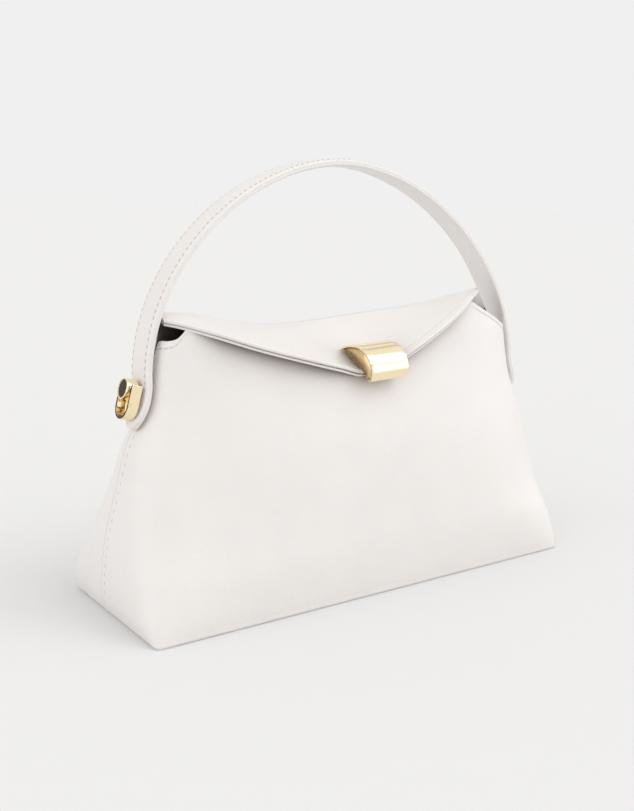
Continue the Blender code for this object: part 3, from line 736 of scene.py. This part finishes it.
def strap_section():
    """The strap's outline in shares of its half sizes: |u|^5 + |v|^5 = 1, in even steps across its faces."""
    face = np.linspace(-0.92, 0.92, 61)
    turn = np.linspace(0.80, -0.80, 15)
    flat, round_ = (1 - np.abs(face) ** 5) ** 0.2, (1 - np.abs(turn) ** 5) ** 0.2
    across = np.concatenate([face, round_, face[::-1], -round_])
    out = np.concatenate([flat, turn, -flat, turn[::-1]])
    return across, out


STRAP_STITCH = 2.1 * MM
STRAP_THREAD = {"front": 0.22 * MM, "back": 0.13 * MM}
STRAP_SEWN = slice(8, -8)


def strap_handle():
    """Strap: its outline carried along the arch and both tabs, crowned between two grooves on each face.

    The crown is 1 - u^2. The cut edge has a line along its middle, where the strap's two layers meet.
    """
    along, up, wide = handle_line()
    tangent = unit(np.stack([np.gradient(along), np.gradient(up)], axis=-1))
    across, out = strap_section()
    from_edge = wide[:, None] * (1 - np.abs(across))
    on_face = np.abs(out) > 0.83
    relief = 0.25 * MM * (1 - across**2) * on_face
    relief = relief - 0.20 * MM * bell(from_edge - STRAP_STITCH, 0.32 * MM) * on_face
    outwards = out * HANDLE_THICKNESS / 2 + np.sign(out) * relief
    seam = 0.18 * MM * bell(out * HANDLE_THICKNESS / 2, 0.16 * MM) * ~on_face
    sideways = across * wide[:, None] - np.sign(across) * seam

    def placed(out_by, side_by):
        x = along[:, None] - tangent[:, 1:2] * out_by
        z = up[:, None] + tangent[:, 0:1] * out_by
        return lean(np.stack([x, side_by + 0 * x, z], axis=-1))

    for edge, way in (("front", -1), ("back", 1)):
        side = way * np.maximum(wide - STRAP_STITCH, 0)[:, None]
        path = placed(np.full_like(side, HANDLE_THICKNESS / 2), side)[STRAP_SEWN, 0]
        normal = np.stack([-tangent[:, 1], 0 * up, tangent[:, 0]], axis=-1)[STRAP_SEWN]
        row = stitches("strap_stitches_" + edge, path, normal, pitch=3.6 * MM, thick=STRAP_THREAD[edge])
        place_on(row, finish=None)
    points = placed(outwards, sideways)
    faces = closed_tube_faces(*points.shape[:2], flip=True)
    return mesh_object("strap_handle", points.reshape(-1, 3), faces, strap_leather)


# Clasp

# Points along the hood's side profile, and those of them that its filling follows
HOOD_POINTS = 61
CORE_POINTS = slice(2, 58)


def plate_across(profile_y, profile_z, half_width):
    """A side profile carried across the clasp, raised sideways by the clasp's tilt."""
    across = np.linspace(-1, 1, 13) * half_width
    return np.stack([
        across[None, :] + 0 * profile_y[:, None],
        profile_y[:, None] + 0 * across,
        profile_z[:, None] + across * math.tan(CLASP_TILT),
    ], axis=-1)


def soften_edges(obj, width):
    """The piece's sharp edges rounded over by a narrow bevel."""
    modifier = obj.modifiers.new("edges", "BEVEL")
    modifier.width = width
    modifier.segments = 3
    modifier.limit_method = "ANGLE"
    modifier.angle_limit = math.radians(50)
    return obj


def hood_profile(count):
    """The hood's side profile, smoothed by a cubic through the table's points."""
    knots = np.arange(len(HOOD))
    fine = np.linspace(0, len(HOOD) - 1, count)
    return smooth(fine, knots, HOOD[:, 0]) * FLAP_REACH, smooth(fine, knots, HOOD[:, 1]) * SEAM_HEIGHT


def clasp_hood():
    """Curved plate: the side profile carried across and given its metal, with darker gold of painted shade on
    its inner side.
    """
    outer = plate_across(*hood_profile(HOOD_POINTS), CLASP_WIDTH / 2)
    inner = outer + normals_of(outer) * CLASP_METAL
    hood = rounded_shell("hood_plate", outer, inner, gold, flip=True)
    hood.data.materials.append(shaded_inner_gold)
    second_material_inside(hood, outer)
    return soften_edges(hood, 0.25 * MM)


def hood_core():
    """Filling of the hood in the darker gold of painted shade: from the plate's inner side to the straight line
    between its two ends.
    """
    y, z = (line[CORE_POINTS] for line in hood_profile(HOOD_POINTS))
    middle = plate_across(y, z, CLASP_WIDTH / 2 - CORE_INSET)
    outer = middle + normals_of(middle) * CLASP_METAL
    share = np.linspace(0.02, 0.98, len(outer))[:, None, None]
    chord = outer[:1] * (1 - share) + outer[-1:] * share
    return rounded_shell("hood_core", outer, chord, shaded_inner_gold, flip=True)


# Painted shade on faces of the ring and of the left stud: least and most depth below the fitting's outermost
# face
RING_PAINTED_SHADE = (-1.0 * MM, 0.3 * MM)
STUD_PAINTED_SHADE = (0.2 * MM, 0.8 * MM)


def polished(name, painted_shade_facing=None, moved=(0, 0, 0)):
    """A fitting's solid, welded and with its edges rounded.

    The shade argument holds a direction and two depths: faces that look that way, between those depths below
    the outermost one, take the near-black gold of painted shade.
    """
    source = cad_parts[name]
    mesh = source.data.copy()
    mesh.transform(Matrix.Translation(moved) @ source.matrix_world)
    shape = bmesh.new()
    shape.from_mesh(mesh)
    bmesh.ops.remove_doubles(shape, verts=shape.verts, dist=0.01 * MM)
    bmesh.ops.dissolve_limit(shape, angle_limit=math.radians(1), verts=shape.verts, edges=shape.edges)
    shape.to_mesh(mesh)
    shape.free()
    mesh.shade_smooth()
    mesh.set_sharp_from_angle(angle=math.radians(35))
    mesh.materials.clear()
    mesh.materials.append(gold)
    mesh.materials.append(painted_shade_gold)
    if painted_shade_facing is not None:
        outwards, low, high = painted_shade_facing
        count = len(mesh.polygons)
        normal, centre = np.empty(count * 3), np.empty(count * 3)
        mesh.polygons.foreach_get("normal", normal)
        mesh.polygons.foreach_get("center", centre)
        facing = normal.reshape(-1, 3) @ np.array(outwards)
        place = centre.reshape(-1, 3) @ np.array(outwards)
        # These faces take the painted shade
        dark = (facing > 0.98) & (place > place.max() - high) & (place < place.max() - low)
        mesh.polygons.foreach_set("material_index", dark.astype(np.int32))
    piece = bpy.data.objects.new(name + "_polished", mesh)
    bpy.context.scene.collection.objects.link(piece)
    return soften_edges(piece, 0.16 * MM)


place_on(front_panel(), "front_panel")
place_on(back_panel(), "back_panel")
place_on(flap_facing(), "flap_facing")
place_on(base_sheet(), "base_panel")
place_on(bag_lining(), "lining", finish="lining")
place_on(strap_handle(), "handle")
place_on(clasp_hood(), "clasp_hood", finish="gold")

place_on(hood_core(), finish="gold")

fitting_way = Vector((-math.cos(FITTING_TILT), 0, math.sin(FITTING_TILT)))
outwards = Matrix.Rotation(-HANDLE_LEAN, 3, "X") @ fitting_way
place_on(polished("strap_ring_left", (outwards, *RING_PAINTED_SHADE)), "strap_ring_left", finish="gold")
place_on(polished("stud_left", (outwards, *STUD_PAINTED_SHADE)), "stud_left", finish="gold")
place_on(polished("stud_right", moved=(-STUD_SINK, 0, 0)), "stud_right", finish="gold")
place_on(polished("clasp_catch", moved=(0, 0, CATCH_RISE)), "clasp_catch", finish="gold")
for name in ("stud_washer_left", "stud_washer_right"):
    place_on(polished(name), name, finish="gold")


# Studio

PICTURE = (634, 811)
FOCAL_PIXELS = 993.93
EYE = Vector((-0.34645, -0.44465, 0.21179))
AIM = Vector((-0.016069, 0.0, 0.098430))
ROLL = math.radians(2.0564)


def camera():
    """Pinhole camera at the photograph's place: aimed, then turned about its own axis."""
    forward = (AIM - EYE).normalized()
    right = forward.cross(Vector((0, 0, 1))).normalized()
    up = right.cross(forward)
    turned_right = right * math.cos(ROLL) + up * math.sin(ROLL)
    turned_up = up * math.cos(ROLL) - right * math.sin(ROLL)
    data = bpy.data.cameras.new("camera")
    data.lens = FOCAL_PIXELS * data.sensor_width / max(PICTURE)
    data.clip_start = 0.01
    data.clip_end = 50
    obj = bpy.data.objects.new("camera", data)
    turned = Matrix([turned_right, turned_up, -forward]).transposed()
    obj.matrix_world = Matrix.Translation(EYE) @ turned.to_4x4()
    bpy.context.scene.collection.objects.link(obj)
    bpy.context.scene.camera = obj


def sun(name, towards, strength, angle):
    """A far round light, whose rays come from the given direction."""
    data = bpy.data.lights.new(name, "SUN")
    data.energy = strength
    data.angle = math.radians(angle)
    obj = bpy.data.objects.new(name, data)
    obj.rotation_euler = Vector(towards).to_track_quat("Z", "Y").to_euler()
    bpy.context.scene.collection.objects.link(obj)


FLOOR_TONE = 0.757
BACKDROP = (0.871,) * 3
CEILING_RING = (0.55, 0.46, 0.34)
CEILING_MIDDLE = (0.92,) * 3


def studio():
    """An even pale floor and backdrop of one tone; higher up, a dark ring of ceiling and a bright middle."""
    half = 60.0
    corners = np.array([(-half, -half, 0), (half, -half, 0), (half, half, 0), (-half, half, 0)])
    material, tree, shader = new_material("pale_floor", (FLOOR_TONE,) * 3, 1.0)
    shader.inputs["Specular IOR Level"].default_value = 0.0
    place = node(tree, "ShaderNodeTexCoord").outputs["Object"]
    tone = node(tree, "ShaderNodeTexNoise", {"Vector": place, "Scale": 60.0, "Detail": 2.0})
    low, high = (FLOOR_TONE * 0.998,) * 3 + (1.0,), (FLOOR_TONE * 1.002,) * 3 + (1.0,)
    tree.links.new(ramp(tree, tone.outputs["Fac"], 0.3, 0.7, low, high), shader.inputs["Base Color"])
    mesh_object("floor", corners, [[0, 1, 2, 3]], material)
    world = bpy.data.worlds.new("studio")
    world.use_nodes = True
    tree = world.node_tree
    way = node(tree, "ShaderNodeTexCoord").outputs["Generated"]
    up = node(tree, "ShaderNodeSeparateXYZ", {"Vector": way})
    rings = node(tree, "ShaderNodeValToRGB", {"Fac": up.outputs["Z"]}).color_ramp
    stops = (
        (0.40, BACKDROP),
        (0.44, CEILING_RING),
        (0.49, CEILING_RING),
        (0.53, CEILING_MIDDLE),
        (1.0, CEILING_MIDDLE),
    )
    while len(rings.elements) < len(stops):
        rings.elements.new(0.5)
    for element, (place, tone) in zip(rings.elements, stops):
        element.position = place
        element.color = (*tone, 1.0)
    background = tree.nodes["Background"]
    tree.links.new(tree.nodes["Color Ramp"].outputs["Color"], background.inputs["Color"])
    background.inputs["Strength"].default_value = 1.0
    bpy.context.scene.world = world
    sun("key", (0.40, -0.45, 0.80), 0.55, 40)
    sun("right_fill", (0.85, -0.45, 0.25), 0.70, 60)
    sun("left_fill", (-0.95, -0.10, 0.30), 0.75, 60)


camera()
studio()
bpy.context.scene.view_settings.view_transform = "Standard"
